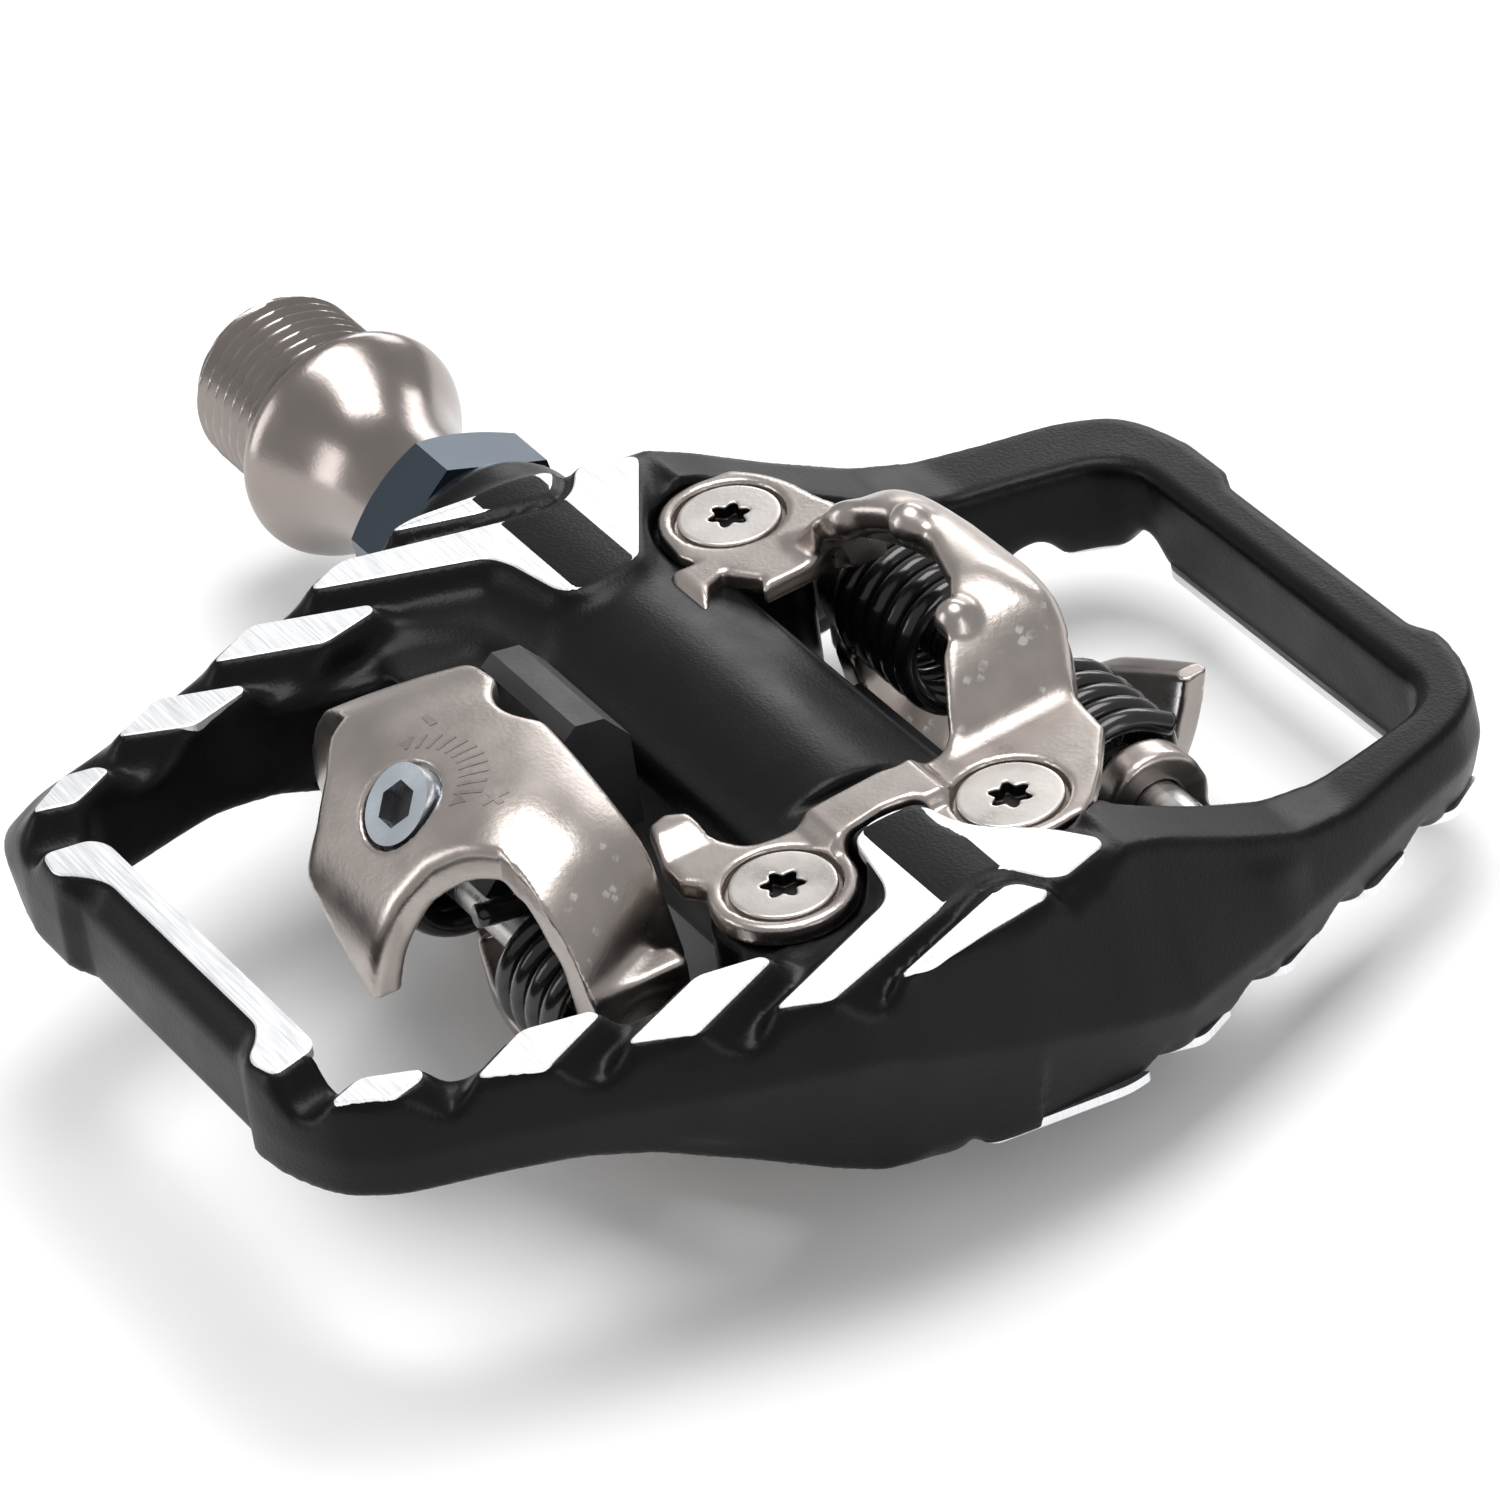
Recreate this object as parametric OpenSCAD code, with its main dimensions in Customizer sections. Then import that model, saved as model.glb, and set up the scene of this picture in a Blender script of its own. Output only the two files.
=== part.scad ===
// Clipless platform pedal, right-hand side.
// X runs along the axle away from the crank, Y is forward, Z is up.
// The origin sits on the crank seating face of the axle flange.
// The two faces of the pedal are the same: each side is the other one
// turned half a turn about the axle.

/* [Axle] */
// Distance from the crank seating face to the middle of the pedal body
ctr = 59.5; // [54:0.5:64]
// Major radius of the crank thread (9/16 inch, 20 per inch)
thread_r = 7.14; // [7:0.01:7.3]
// Length of the crank thread
thread_len = 12; // [10:0.5:14]
// Thread pitch
thread_pitch = 1.27; // [1:0.01:1.5]
// Radius of the flange that seats on the crank
flange_r = 9.1; // [8:0.1:10]
// Radius of the neck between flange and lock cap
neck_r = 5.7; // [5:0.1:6.2]
// Radius of the shaft inside the barrel
shaft_r = 4.6; // [4:0.1:5]
// Across flats of the hex socket in the thread end
socket_af = 8; // [6:0.5:8]
// Depth of the hex socket
socket_d = 8; // [4:0.5:10]

/* [Bearing unit] */
// Corner radius of the hexagon lock cap
cap_r = 8.47; // [8:0.01:9]
// Length of the hexagon of the lock cap
cap_len = 5.5; // [4:0.1:7]
// Turn of the hexagon about the axle
cap_turn = 41; // [0:1:60]
// Outer radius of the bearing sleeve
sleeve_r = 6.8; // [6.5:0.1:6.9]
// Inner radius of the bearing sleeve
sleeve_bore = 6.12; // [6:0.01:6.3]
// Ball radius
ball_r = 1.25; // [1:0.05:1.5]
// Number of balls in each row
ball_n = 11; // [8:1:12]

/* [Body] */
// Half the length of the body, front to back
body_half_l = 48; // [44:0.5:52]
// Height of the machined pads above the axle
pad_z = 9; // [8:0.5:12]
// Outer radius of the barrel
barrel_r = 8.3; // [8:0.1:9.5]
// Diameter of the diagonal grooves between the pads
groove_d = 4.2; // [3:0.1:5]
// Depth of the grooves under the pads
groove_depth = 2.2; // [1:0.1:3]

/* [Claws] */
// Height of the fixed claw seat above the axle
seat_z = 6.4; // [6:0.1:8]
// Thickness of the fixed claw ears
ear_t = 1.7; // [1.2:0.1:2.5]
// Radius of the fixed claw ears
ear_r = 5.2; // [4.5:0.1:6]
// Highest point of the fixed claw above the axle
arch_z = 15.2; // [14:0.1:18]
// Plate thickness of both claws
plate_t = 2.6; // [2:0.1:3]
// Distance of the claw pivot behind the axle
piv_y = 20.5; // [18:0.5:23]
// Height of the claw pivot above the axle
piv_z = 0; // [0:0.5:3]
// Radius of the pivot pin
pin_r = 2; // [1.5:0.1:2.5]
// Half width of the sprung claw over its wings
wing_x = 19.5; // [17:0.1:21]
// Half width of the sprung claw hood
hood_x = 11.7; // [9:0.1:13]

/* [Screws and springs] */
// Head radius of the claw screws
torx_r = 3.75; // [3:0.05:4.2]
// Head radius of the tension screw
tens_r = 3; // [2.5:0.1:3.5]
// Tilt of the tension screw from vertical
tens_tilt = 45; // [30:1:60]
// Mean radius of the spring coils
coil_r = 4.5; // [4:0.1:5]
// Radius of the spring wire
wire_r = 0.9; // [0.6:0.1:1.2]
// Turns in each coil
coil_n = 5; // [3:1:6]
// Pitch of the coil turns
coil_p = 2.1; // [1.9:0.1:2.5]

/* [Hidden] */
$fn = 48;
steel = [0.46, 0.43, 0.41];
silver = [0.66, 0.63, 0.60];
zinc = [0.62, 0.66, 0.70];
black = [0.07, 0.07, 0.08];
slate = [0.24, 0.29, 0.34];
resin = [0.05, 0.05, 0.06];
spring_steel = [0.12, 0.11, 0.11];
ball_pitch = sleeve_bore - 0.02 - ball_r;
race_r = ball_pitch - ball_r - 0.02;
in_row = -33;               // crank-side ball row
out_row = 18;               // outer ball row
cap_x0 = -44.9;             // crank end of the lock cap
cap_x1 = cap_x0 + cap_len;
body_x0 = -38.5;            // crank end of the barrel
bore_x1 = 27;               // blind end of the barrel bore
skirt_r = 7.5;              // radius of the lock cap skirt in the barrel
strap_z = 7.4;              // underside of the strap that bridges the barrel
// claw screw places on the upper side
ear_a = [-21, 11.2];
ear_b = [21, 8.2];
ear_c = [19.4, -9.1];
// tension screw head centre on the hood
tens_y = -27.1;
tens_z = 12.4;

// lay a rotate_extrude or cylinder along the axle, starting at x
module along(x) translate([x, 0, 0]) rotate([0, 90, 0]) children();
// place something in pedal-centred coordinates
module ped() translate([ctr, 0, 0]) children();
// the lower side is the upper side turned half a turn about the axle
module lower() rotate([180, 0, 0]) children();
// extrude a Y-Z outline along X, centred, total width w
module across(w) rotate([90, 0, 90]) translate([0, 0, -w / 2])
  linear_extrude(w) children();

// ---------- axle ----------
module axle() color(steel) difference() {
  union() {
    along(-thread_len) cylinder(r1 = thread_r - 0.9, r2 = thread_r, h = 0.9);
    along(-thread_len + 0.9) cylinder(r = thread_r, h = thread_len - 0.9);
    // flange and trumpet neck turned as one profile
    along(0) rotate_extrude() polygon([[0, 0], [flange_r - 0.3, 0],
      [flange_r, 0.4], [flange_r - 0.1, 1.2], [flange_r - 0.7, 2.6],
      [flange_r - 1.7, 4.2], [neck_r + 0.7, 6.4], [neck_r + 0.2, 8.4],
      [neck_r, 10], [neck_r, ctr - 39.2], [shaft_r, ctr - 38.6],
      [shaft_r, ctr + in_row - 1.4], [race_r, ctr + in_row - 0.9],
      [race_r, ctr + in_row + 0.9], [shaft_r, ctr + in_row + 1.4],
      [shaft_r, ctr + 10], [3, ctr + 10.6], [3, ctr + 25.4],
      [2.6, ctr + 25.8], [0, ctr + 25.8]]);
  }
  // thread relief, one ring a turn
  for (i = [0 : floor(thread_len / thread_pitch) - 1])
    along(-0.9 - i * thread_pitch) rotate_extrude()
      polygon([[thread_r - 0.62, 0], [thread_r + 0.5, -0.58],
        [thread_r + 0.5, 0.58]]);
  // hex socket for the fitting key
  along(-thread_len - 0.1) rotate([0, 0, 30])
    cylinder(r = socket_af / sqrt(3), h = socket_d + 0.1, $fn = 6);
}

// outer cone, screwed on the shaft end
module cone() color(steel) ped() along(out_row - 3.6) difference() {
  rotate_extrude() polygon([[3.02, 0], [4.9, 0], [4.9, 1.5], [race_r, 1.9],
    [race_r, 4.6], [4.3, 5], [4.3, 5.6], [3.02, 5.6]]);
}

// lock nut outside the cone
module lock_nut() color(steel) ped() along(out_row + 2.1) difference() {
  cylinder(r = 5.2, h = 3, $fn = 6);
  translate([0, 0, -1]) cylinder(r = 3.02, h = 5);
}

// ---------- bearing unit ----------
module lock_cap() color(slate) ped() difference() {
  union() {
    intersection() {
      along(cap_x0) rotate([0, 0, cap_turn + 90])
        cylinder(r = cap_r, h = cap_len, $fn = 6);
      // chamfered corners
      along(cap_x0) rotate_extrude() polygon([[0, 0], [cap_r - 1.1, 0],
        [cap_r + 0.1, 0.9], [cap_r + 0.1, cap_len], [0, cap_len]]);
    }
    along(cap_x1 - 0.1) cylinder(r = skirt_r, h = 3.6);
  }
  along(cap_x0 - 1) cylinder(r = neck_r + 0.25, h = cap_len + 6);
  // seal seat
  along(cap_x0 - 1) cylinder(r = neck_r + 1, h = 3.4);
}

module seal_ring() color(resin) ped() along(cap_x0 + 0.3) difference() {
  cylinder(r = neck_r + 1, h = 2.05);
  translate([0, 0, -1]) cylinder(r = neck_r + 0.06, h = 5);
}

module bearing_sleeve() color(steel) ped() difference() {
  along(cap_x1 + 3.6) cylinder(r = sleeve_r, h = bore_x1 - cap_x1 - 3.8);
  along(cap_x1 + 3) cylinder(r = sleeve_bore, h = bore_x1 - cap_x1);
}

module ball_row(x) color(zinc) ped() for (i = [0 : ball_n - 1])
  rotate([i * 360 / ball_n, 0, 0]) translate([x, 0, ball_pitch])
    sphere(r = ball_r);
module balls_inner() ball_row(in_row);
module balls_outer() ball_row(out_row - 0.4);

// ---------- body ----------
// plan of the rim, one quarter from the end bar to the widest point
rim = [[16, 48], [21.5, 45.5], [24.5, 41], [28, 32.4], [31.4, 22.9],
  [34.2, 13.8], [36.5, 3]];
module plan() {
  k = body_half_l / 48;
  q = [for (p = rim) [p[0], p[1] * k]];
  polygon(concat(q, [for (i = [6 : -1 : 0]) [q[i][0], -q[i][1]]],
    [for (i = [0 : 6]) [-q[i][0], -q[i][1]]],
    [for (i = [6 : -1 : 0]) [-q[i][0], q[i][1]]]));
}
// side view: high at the back, low at the front
module side() {
  e = body_half_l;
  polygon([[-e, pad_z], [8, pad_z], [13, pad_z - 1.8], [26, 0.4],
    [32, -0.9], [e, -1], [e, -pad_z], [-8, -pad_z], [-13, 1.8 - pad_z],
    [-26, -0.4], [-32, 0.9], [-e, 1]]);
}
// rear cage window in plan
module window() polygon([[-12.5, -43], [12.5, -43], [19.5, -41.5], [21.5, -33],
  [23, -22], [23, -13.5], [18, -4], [-18, -4], [-23, -13.5], [-23, -22],
  [-21.5, -33], [-19.5, -41.5]]);
// inner lobe of the long pad, between two claw ears
module lobe() polygon([[18.6, -1.9], [19.6, -3.4], [25, -4.6], [31, -4.6],
  [31, 9.2], [30, 9.2], [24.3, 4.2], [19.4, 2.4]]);
// [x, y, turn] of the diagonal grooves on the right-hand upper rail
grooves = [[23.8, -37, 24], [26.4, -27, 23], [29, -16.6, 22], [31.2, -4, 18]];

module bodymass() {
  intersection() {
    difference() {
      translate([0, 0, -pad_z]) linear_extrude(2 * pad_z) plan();
      translate([0, 0, -pad_z - 1]) linear_extrude(2 * pad_z + 2) window();
      lower() translate([0, 0, -pad_z - 1]) linear_extrude(2 * pad_z + 2)
        window();
    }
    across(80) side();
  }
  // barrel
  along(body_x0) cylinder(r = barrel_r, h = 68.5);
  for (s = [0, 180]) rotate([s, 0, 0]) {
    // columns under the claw ears
    translate([ear_a[0], ear_a[1] - 1, -seat_z]) cylinder(r = 5.3, h = 2 * seat_z);
    translate([ear_b[0], ear_b[1] + 1, -seat_z]) cylinder(r = 5.3, h = 2 * seat_z);
    linear_extrude(pad_z) lobe();
    mirror([1, 0, 0]) linear_extrude(pad_z) lobe();
  }
}
module body() color(black) ped() difference() {
  bodymass();
  // bearing bore and lock cap thread
  along(body_x0 - 0.1) cylinder(r = sleeve_r + 0.04, h = bore_x1 - body_x0 + 0.1);
  along(body_x0 - 1) cylinder(r = skirt_r + 0.04, h = cap_x1 + 3.5 - body_x0 + 1.2);
  for (s = [0, 180]) rotate([s, 0, 0]) {
    // claw seats
    for (p = [ear_a, ear_b, ear_c]) {
      translate([p[0], p[1], seat_z]) cylinder(r = ear_r + 0.4, h = 5);
      translate([p[0], p[1], 3]) cylinder(r = 1.82, h = 8);
    }
    translate([12.4, -6.2, strap_z]) cube([6.2, 14.4, 5]);
    for (q = [[ear_b, 1], [ear_c, -1]]) translate([12.9, q[1] > 0 ? 5 : -9.6, seat_z])
      cube([6, 4.6, 5]);
    // pivot pin bores
    translate([-27.2, -piv_y, piv_z]) rotate([0, 90, 0])
      cylinder(r = pin_r + 0.01, h = 54.4);
    // diagonal grooves
    for (g = grooves, m = [0, 1]) mirror([m, 0, 0])
      translate([g[0], g[1], pad_z - groove_depth + groove_d / 2])
        rotate([0, 0, g[2]]) rotate([90, 0, 0])
          cylinder(d = groove_d, h = 15, center = true, $fn = 24);
  }
}

// ---------- fixed claw ----------
module torx_place() for (p = [ear_a, ear_b, ear_c])
  translate([p[0], p[1], 0]) children();

module fixed_claw() difference() {
  union() {
    translate([0, 0, seat_z]) linear_extrude(ear_t) {
      for (p = [ear_a, ear_b, ear_c]) translate(p) circle(r = ear_r);
      // webs from the ears to the arch
      polygon([[-25.4, 14], [-21, 16.3], [-17.4, 21.5], [-14.6, 21.5],
        [-14.6, 12], [-17, 8], [-21, 6.2]]);
      polygon([[25, 11.5], [21, 15.6], [17.4, 21.5], [14.6, 21.5],
        [14.6, 10], [17, 4.6], [21, 3.2]]);
      // feet of the strap that bridges the barrel
      polygon([[13.4, -9.2], [13.4, -5.2], [18, -4.6], [20, -6]]);
      polygon([[13.4, 9.2], [13.4, 5.4], [18, 5.4], [20, 7]]);
      // stop lug beside the left ear
      polygon([[-18.6, 7.6], [-15.4, 5.2], [-12.6, 6.8], [-15.6, 11]]);
    }
    // arch
    translate([0, 22.5, 0]) rotate([90, 0, 0]) linear_extrude(8.3)
      difference() {
        polygon([[-17.5, seat_z], [-17.5, 10], [-13, arch_z - 1.2],
          [-8, arch_z], [8, arch_z], [13, arch_z - 1.2], [17.5, 10],
          [17.5, seat_z]]);
        polygon([[-14.9, seat_z - 1], [-14.9, 9], [-11.4, arch_z - 3.9],
          [-7.4, arch_z - plate_t], [7.4, arch_z - plate_t],
          [11.4, arch_z - 3.9], [14.9, 9], [14.9, seat_z - 1]]);
      }
    // strap over the barrel to the rear ear
    translate([13.4, -5.8, strap_z]) cube([4.6, 12.2, ear_t]);
    // hook lip over the cleat
    translate([-7.5, 11.2, arch_z - plate_t]) cube([15, 3.2, plate_t - 0.4]);
  }
  torx_place() translate([0, 0, seat_z - 1]) cylinder(r = 1.9, h = 5);
  torx_place() translate([0, 0, seat_z + ear_t - 1.1])
    cylinder(r = torx_r + 0.25, h = 3);
}
module fixed_claw_top() color(silver) ped() fixed_claw();
module fixed_claw_bottom() color(silver) ped() lower() fixed_claw();

module claw_screws() torx_place() difference() {
  union() {
    translate([0, 0, seat_z + ear_t - 1.1]) cylinder(r = torx_r, h = 1.1);
    translate([0, 0, 3.1]) cylinder(r = 1.78, h = seat_z + ear_t - 4.1);
  }
  // six-lobe socket
  translate([0, 0, seat_z + ear_t - 1.0]) {
    cylinder(r = 1.05, h = 3);
    for (i = [0 : 5]) rotate([0, 0, i * 60]) translate([1.15, 0, 0])
      cylinder(r = 0.33, h = 3, $fn = 16);
  }
}
module claw_screws_top() color(silver) ped() claw_screws();
module claw_screws_bottom() color(silver) ped() lower() claw_screws();

// ---------- sprung claw ----------
t = plate_t;
module hood_side() polygon([[-15.8, 14.4], [-21.5, 14.9], [-26.2, 14.4],
  [-31.8, 8.9], [-33.8, 4.6], [-33.8, 2.2], [-33.8 + t, 2.2],
  [-33.8 + t, 4.2], [-31.8 + 2.1, 7.6], [-25.2, 14.4 - t],
  [-21.2, 14.9 - t], [-15.8, 14.4 - t]]);
module sprung_claw() difference() {
  union() {
    across(2 * hood_x) hood_side();
    // shoulders down to the wings
    for (m = [0, 1]) mirror([m, 0, 0]) {
      translate([0, -15.7, 0]) rotate([90, 0, 0]) linear_extrude(8.6)
        polygon([[11, 14.6], [15, 13], [wing_x, 8.2], [wing_x, 4],
          [wing_x - 2.4, 4], [wing_x - 2.4, 7.4], [14, 10.6], [11, 12]]);
      translate([wing_x - 2.4, 0, 0]) rotate([90, 0, 90]) linear_extrude(2.4) {
        polygon([[-15.7, 8], [-16.4, piv_z], [-24.6, piv_z], [-24.3, 8]]);
        translate([-piv_y, piv_z]) circle(r = 4.1);
      }
    }
  }
  translate([-30, -piv_y, piv_z]) rotate([0, 90, 0])
    cylinder(r = pin_r + 0.06, h = 60);
  // notch in the front lip over the guide block
  translate([-3.3, -13.6, 9]) cylinder(r = 3.9, h = 9);
  // side openings that leave a narrow tail
  for (m = [0, 1]) mirror([m, 0, 0]) translate([0, -26.4, 0])
    rotate([90, 0, 0]) linear_extrude(9)
      polygon([[5.4, -1], [5.4, 7.4], [8.6, 12], [12.5, 13.6], [12.5, -1]]);
  // tension screw hole with a head recess
  translate([0, tens_y, tens_z]) rotate([tens_tilt, 0, 0]) {
    translate([0, 0, -6]) cylinder(r = 1.75, h = 12);
    translate([0, 0, -0.9]) cylinder(r = tens_r + 0.15, h = 4);
  }
}
module sprung_claw_top() color(silver) ped() sprung_claw();
module sprung_claw_bottom() color(silver) ped() lower() sprung_claw();

module pivot_pin() translate([-27, -piv_y, piv_z]) rotate([0, 90, 0])
  cylinder(r = pin_r, h = 54);
module pivot_pin_top() color(steel) ped() pivot_pin();
module pivot_pin_bottom() color(steel) ped() lower() pivot_pin();

// two coils on the pin, turns drawn as closed rings tied by short bars
module spring_set() translate([0, -piv_y, piv_z]) for (m = [0, 1])
  mirror([m, 0, 0]) {
    for (i = [0 : coil_n - 1]) translate([6.4 + i * coil_p, 0, 0])
      rotate([0, 90, 0]) rotate_extrude() translate([coil_r, 0])
        circle(r = wire_r, $fn = 16);
    for (i = [0 : coil_n - 2]) translate([6.4 + i * coil_p, 0, 0])
      rotate([i * 70, 0, 0]) translate([0, 0, coil_r]) rotate([0, 90, 0])
        cylinder(r = wire_r * 0.8, h = coil_p, $fn = 16);
    // leg lying against the barrel
    translate([6.4, 0, -coil_r]) rotate([-90, 0, 0])
      cylinder(r = wire_r, h = 6, $fn = 16);
  }
module spring_top() color(spring_steel) ped() spring_set();
module spring_bottom() color(spring_steel) ped() lower() spring_set();

// ---------- tension adjuster ----------
module tens_place() translate([0, tens_y, tens_z]) rotate([tens_tilt, 0, 0])
  children();
module tension_screw() tens_place() difference() {
  union() {
    translate([0, 0, -0.85]) cylinder(r = tens_r, h = 1.5);
    translate([0, 0, -9.6]) cylinder(r = 1.6, h = 9);
  }
  translate([0, 0, -0.5]) cylinder(r = 1.75, h = 3, $fn = 6);
}
module tension_screw_top() color(zinc) ped() tension_screw();
module tension_screw_bottom() color(zinc) ped() lower() tension_screw();

module tension_nut() tens_place() difference() {
  union() {
    translate([-4.6, -2.6, -8.6]) cube([9.2, 5.2, 2]);
    translate([0, 0, -6.8]) cylinder(r = 2.6, h = 1.2, $fn = 6);
  }
  translate([0, 0, -12]) cylinder(r = 1.63, h = 12);
}
module tension_nut_top() color(zinc) ped() tension_nut();
module tension_nut_bottom() color(zinc) ped() lower() tension_nut();

// resin block that guides the cleat, seated on the barrel
module guide_block() difference() {
  union() {
    translate([-5.2, 0, 0]) across(11.6) polygon([[-14.6, 3],
      [-14.6, 12.2], [-13.6, 13], [-11.4, 12.6], [-9.6, 10.4], [-9.6, 3]]);
  }
  along(-20) cylinder(r = barrel_r, h = 40);
}
module guide_block_top() color(resin) ped() guide_block();
module guide_block_bottom() color(resin) ped() lower() guide_block();

axle();
cone();
lock_nut();
lock_cap();
seal_ring();
bearing_sleeve();
balls_inner();
balls_outer();
body();
fixed_claw_top();
fixed_claw_bottom();
claw_screws_top();
claw_screws_bottom();
sprung_claw_top();
sprung_claw_bottom();
pivot_pin_top();
pivot_pin_bottom();
spring_top();
spring_bottom();
tension_screw_top();
tension_screw_bottom();
tension_nut_top();
tension_nut_bottom();
guide_block_top();
guide_block_bottom();
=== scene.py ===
"""Clipless pedal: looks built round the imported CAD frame. Lengths are worked in
millimetres about the middle of the pedal body, and written out in metres."""

import math

import bmesh
import bpy
import numpy as np
import openvdb as vdb
from mathutils import Matrix, Vector


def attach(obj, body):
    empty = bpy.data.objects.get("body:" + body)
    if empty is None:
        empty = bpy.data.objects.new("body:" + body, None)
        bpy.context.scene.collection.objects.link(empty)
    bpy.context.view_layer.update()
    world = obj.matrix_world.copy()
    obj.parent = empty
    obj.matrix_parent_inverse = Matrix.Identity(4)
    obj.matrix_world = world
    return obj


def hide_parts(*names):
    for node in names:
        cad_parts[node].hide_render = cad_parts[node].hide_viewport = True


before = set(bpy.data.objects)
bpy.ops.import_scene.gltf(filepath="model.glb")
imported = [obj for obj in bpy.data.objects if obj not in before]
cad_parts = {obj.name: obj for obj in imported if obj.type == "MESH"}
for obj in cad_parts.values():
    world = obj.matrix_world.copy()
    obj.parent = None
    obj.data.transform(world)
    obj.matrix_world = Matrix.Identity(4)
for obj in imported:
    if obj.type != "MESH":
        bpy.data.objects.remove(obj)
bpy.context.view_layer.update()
CTR = 59.5          # crank seat to pedal middle, mm
DZ = -1.0           # upper-side shapes are written 1 mm high and lowered when meshed
MM = 0.001
PIN_Y = -20.5       # claw pivot, behind the axle
HEAD_Y, HEAD_Z = -27.1, 12.4    # tension screw head on the upper hood
SLOPE = math.radians(45)        # tilt of the hood's rear face
FLOOR_Z = -0.0156   # just under the lower face, metres
F = 1.0


# ------------------------------------------------------------------ camera
AZ, EL, ROLL, DIST, TX, TZ, FPX = 63.61, 35.28, -8.7, 634.4, -0.99, 4.12, 9073.6
a, e, r = (math.radians(v) for v in (AZ, EL, ROLL))
back = np.array([math.sin(a) * math.cos(e), -math.cos(a) * math.cos(e), math.sin(e)])
right = np.array([math.cos(a), math.sin(a), 0.0])
up = np.cross(back, right)
R0 = right * math.cos(r) + up * math.sin(r)
R1 = -right * math.sin(r) + up * math.cos(r)
eye = (R0 * TX + R1 * TZ + back * DIST + np.array([CTR, 0, DZ])) * MM
cam_data = bpy.data.cameras.new("camera")
cam = bpy.data.objects.new("camera", cam_data)
bpy.context.scene.collection.objects.link(cam)
cam_data.sensor_width = 36.0
cam_data.lens = FPX / 1500.0 * 36.0
cam_data.clip_start, cam_data.clip_end = 0.01, 20.0
cam.matrix_world = Matrix(((R0[0], R1[0], back[0], eye[0]), (R0[1], R1[1], back[1], eye[1]),
                           (R0[2], R1[2], back[2], eye[2]), (0, 0, 0, 1)))
bpy.context.scene.camera = cam


# --------------------------------------------------------------- materials
def material(name, base, metallic, rough, grain=0.0, grain_scale=4000.0, streak=None,
             tint=0.06, rough_var=0.08, spec=0.5, bump_dist=0.00004, coat=0.0, wear=None):
    """Principled material with grain bump, broad roughness drift, faint colour drift,
    optional brushed streaks along an axis and worn bright edges."""
    m = bpy.data.materials.new(name)
    m.use_nodes = True
    nt = m.node_tree
    n, l = nt.nodes, nt.links
    bs = n["Principled BSDF"]
    bs.inputs["Metallic"].default_value = metallic
    bs.inputs["Specular IOR Level"].default_value = spec
    bs.inputs["Coat Weight"].default_value = coat
    tc = n.new("ShaderNodeTexCoord")

    def noise(scale, detail=3.0, vec=None):
        t = n.new("ShaderNodeTexNoise")
        t.inputs["Scale"].default_value = scale
        t.inputs["Detail"].default_value = detail
        l.new(vec or tc.outputs["Object"], t.inputs["Vector"])
        return t.outputs["Fac"]

    def remap(x, lo, hi, a0=0.3, a1=0.7):
        t = n.new("ShaderNodeMapRange")
        t.inputs["From Min"].default_value, t.inputs["From Max"].default_value = a0, a1
        t.inputs["To Min"].default_value, t.inputs["To Max"].default_value = lo, hi
        l.new(x, t.inputs["Value"])
        return t.outputs["Result"]

    def mix(fac, c0, c1):
        t = n.new("ShaderNodeMix")
        t.data_type = "RGBA"
        l.new(fac, t.inputs[0])
        for s, c in ((6, c0), (7, c1)):
            if isinstance(c, (tuple, list)):
                t.inputs[s].default_value = (*c, 1)
            else:
                l.new(c, t.inputs[s])
        return t.outputs[2]

    lo = tuple(max(0, c * (1 - tint)) for c in base)
    hi = tuple(min(1, c * (1 + tint)) for c in base)
    colour = mix(remap(noise(180.0, 4.0), 0, 1), lo, hi)
    rough_out = remap(noise(260.0, 4.0), max(0.02, rough - rough_var), rough + rough_var)
    height = None
    if streak is not None:
        mp = n.new("ShaderNodeMapping")
        mp.inputs["Scale"].default_value = streak[:3]
        mp.inputs["Rotation"].default_value = (0, 0, math.radians(streak[3]))
        l.new(tc.outputs["Object"], mp.inputs["Vector"])
        s = noise(1.0, 5.0, mp.outputs["Vector"])
        colour = mix(remap(s, 0, 1, 0.35, 0.65), tuple(c * 0.9 for c in base), colour)
        ad = n.new("ShaderNodeMath")
        ad.operation = "ADD"
        l.new(rough_out, ad.inputs[0])
        l.new(remap(s, -0.06, 0.08), ad.inputs[1])
        rough_out = ad.outputs[0]
        height = s
    if wear is not None:
        geo = n.new("ShaderNodeNewGeometry")
        edge = remap(geo.outputs["Pointiness"], 0, 1, 0.53, 0.6)
        mul = n.new("ShaderNodeMath")
        mul.operation = "MULTIPLY"
        l.new(edge, mul.inputs[0])
        l.new(remap(noise(700.0, 4.0), 0, 1, 0.42, 0.6), mul.inputs[1])
        colour = mix(mul.outputs[0], colour, wear)
    l.new(colour, bs.inputs["Base Color"])
    l.new(rough_out, bs.inputs["Roughness"])
    if grain or height is not None:
        bp = n.new("ShaderNodeBump")
        bp.inputs["Strength"].default_value = grain if grain else 0.15
        bp.inputs["Distance"].default_value = bump_dist
        g = noise(grain_scale, 2.0) if grain else height
        if grain and height is not None:
            ad2 = n.new("ShaderNodeMath")
            ad2.operation = "ADD"
            l.new(g, ad2.inputs[0])
            l.new(height, ad2.inputs[1])
            g = ad2.outputs[0]
        l.new(g, bp.inputs["Height"])
        l.new(bp.outputs["Normal"], bs.inputs["Normal"])
    return m


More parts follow.
